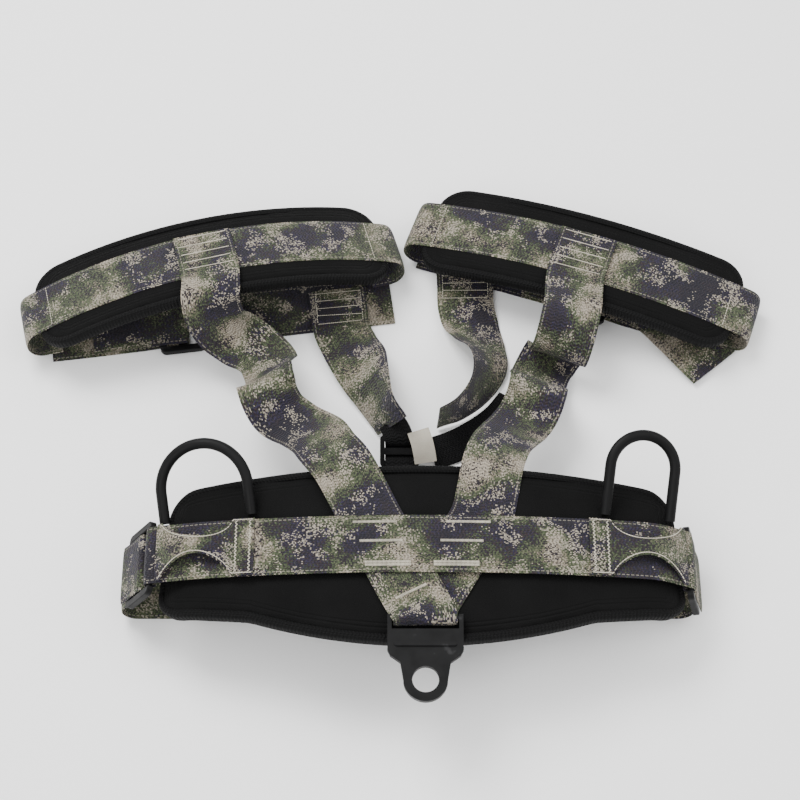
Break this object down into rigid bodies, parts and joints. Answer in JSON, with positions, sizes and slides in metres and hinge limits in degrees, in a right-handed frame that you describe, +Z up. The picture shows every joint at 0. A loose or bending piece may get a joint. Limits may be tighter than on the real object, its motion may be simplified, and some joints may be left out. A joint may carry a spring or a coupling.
{
  "type": "sit harness",
  "caption": "Padded sit harness with a waist belt, leg bands, slide adjusters, gear loops and an attachment plate, laid flat.",
  "frame": {"origin": "on the floor under the middle of the waist belt, on the underside of the front buckle", "axes": "+X across the harness along the belt, +Y from the belt to the leg bands, +Z up"},
  "size_m": [0.588, 0.4618, 0.1028],
  "materials": {
    "camo_webbing": "ribbed polyester webbing in a digital green, tan and brown print",
    "black_webbing": "black polyester webbing",
    "pad_cover": "black knitted cover",
    "pad_lining": "black spacer mesh",
    "pad_foam": "closed-cell foam",
    "binding_tape": "black folded tape",
    "black_steel": "black coated steel, worn a little at the edges",
    "button_plastic": "black moulded plastic",
    "sleeve_plastic": "smooth black tube",
    "cord_core": "braided cord",
    "label_tape": "plain woven tape with no print"
  },
  "bodies": {
    "harness": {"belt_webbing": "camo_webbing", "care_label": "label_tape", "cross_strap": "black_webbing", "front_buckle_socket": "black_steel", "front_slider": "button_plastic", "front_strap_left": "camo_webbing", "front_strap_right": "camo_webbing", "front_webbing_left": "camo_webbing", "front_webbing_right": "camo_webbing", "gear_loop_left_tabs": "black_webbing", "gear_loop_right_tabs": "black_webbing", "link_strap": "black_webbing", "plate_loop": "camo_webbing", "riser_left": "camo_webbing", "riser_right": "camo_webbing", "side_adjuster_left_frame": "black_steel", "side_adjuster_right_frame": "black_steel", "side_loop_left": "camo_webbing", "side_loop_right": "camo_webbing", "waist_pad_binding": "binding_tape", "waist_pad_cover": "pad_cover", "waist_pad_foam": "pad_foam", "waist_pad_lining": "pad_lining"},
    "plate": {"attachment_plate": "black_steel"},
    "gear_loop_left": {"gear_loop_left_sleeve": "sleeve_plastic", "gear_loop_left_core": "cord_core"},
    "gear_loop_right": {"gear_loop_right_sleeve": "sleeve_plastic", "gear_loop_right_core": "cord_core"},
    "leg_left": {"front_tab_left": "camo_webbing", "leg_adjuster_left_frame": "black_steel", "leg_pad_left_binding": "binding_tape", "leg_pad_left_cover": "pad_cover", "leg_pad_left_foam": "pad_foam", "leg_pad_left_lining": "pad_lining", "leg_strap_left_long": "camo_webbing", "leg_strap_left_short": "camo_webbing", "leg_webbing_left": "camo_webbing", "riser_tab_left": "camo_webbing"},
    "leg_right": {"front_tab_right": "camo_webbing", "leg_adjuster_right_frame": "black_steel", "leg_pad_right_binding": "binding_tape", "leg_pad_right_cover": "pad_cover", "leg_pad_right_foam": "pad_foam", "leg_pad_right_lining": "pad_lining", "leg_strap_right_long": "camo_webbing", "leg_strap_right_short": "camo_webbing", "leg_webbing_right": "camo_webbing", "riser_tab_right": "camo_webbing"},
    "buckle_tongue": {"front_buckle_tongue": "black_steel"},
    "buckle_button_front": {"front_buckle_button_front": "button_plastic"},
    "buckle_button_back": {"front_buckle_button_back": "button_plastic"},
    "side_bar_left": {"side_adjuster_left_bar": "black_steel"},
    "side_bar_right": {"side_adjuster_right_bar": "black_steel"},
    "leg_bar_left": {"leg_adjuster_left_bar": "black_steel"},
    "leg_bar_right": {"leg_adjuster_right_bar": "black_steel"}
  },
  "joints": [
    {"name": "plate_swing", "type": "hinge", "parent": "harness", "child": "plate", "pos_m": [0.002, -0.058, 0.0806], "axis": [1, 0, 0], "range_deg": [-150, 0]},
    {"name": "gear_loop_left_tilt", "type": "hinge", "parent": "harness", "child": "gear_loop_left", "pos_m": [-0.15439, 0.0275, 0.06469], "axis": [0.9662, 0, 0.2577], "range_deg": [-25, 55], "stiffness_Nm_per_rad": 0.3},
    {"name": "gear_loop_right_tilt", "type": "hinge", "parent": "harness", "child": "gear_loop_right", "pos_m": [0.15586, 0.0275, 0.06652], "axis": [0.9738, 0, -0.2276], "range_deg": [-25, 55], "stiffness_Nm_per_rad": 0.3},
    {"name": "leg_left_swing", "type": "hinge", "parent": "harness", "child": "leg_left", "pos_m": [-0.1616, 0.24007, 0.06569], "axis": [1, 0, 0], "range_deg": [0, 32]},
    {"name": "leg_right_swing", "type": "hinge", "parent": "harness", "child": "leg_right", "pos_m": [0.12086, 0.24932, 0.04647], "axis": [1, 0, 0], "range_deg": [0, 32]},
    {"name": "side_bar_left_slide", "type": "slide", "parent": "harness", "child": "side_bar_left", "axis": [-0.5299, 0, -0.848], "range_m": [0, 0.003]},
    {"name": "leg_bar_left_slide", "type": "slide", "parent": "leg_left", "child": "leg_bar_left", "axis": [-0.9914, -0.1305, 0], "range_m": [0, 0.003]},
    {"name": "side_bar_right_slide", "type": "slide", "parent": "harness", "child": "side_bar_right", "axis": [0.2419, 0, -0.9703], "range_m": [0, 0.003]},
    {"name": "leg_bar_right_slide", "type": "slide", "parent": "leg_right", "child": "leg_bar_right", "axis": [0.9483, -0.3173, 0], "range_m": [0, 0.003]},
    {"name": "buckle_tongue_slide", "type": "slide", "parent": "harness", "child": "buckle_tongue", "axis": [1, 0, 0], "range_m": [0, 0.018]},
    {"name": "buckle_button_front_press", "type": "slide", "parent": "harness", "child": "buckle_button_front", "axis": [0, -1, 0], "range_m": [0, 0.0025], "stiffness_N_per_m": 400},
    {"name": "buckle_button_back_press", "type": "slide", "parent": "harness", "child": "buckle_button_back", "axis": [0, 1, 0], "range_m": [0, 0.0025], "stiffness_N_per_m": 400}
  ]
}
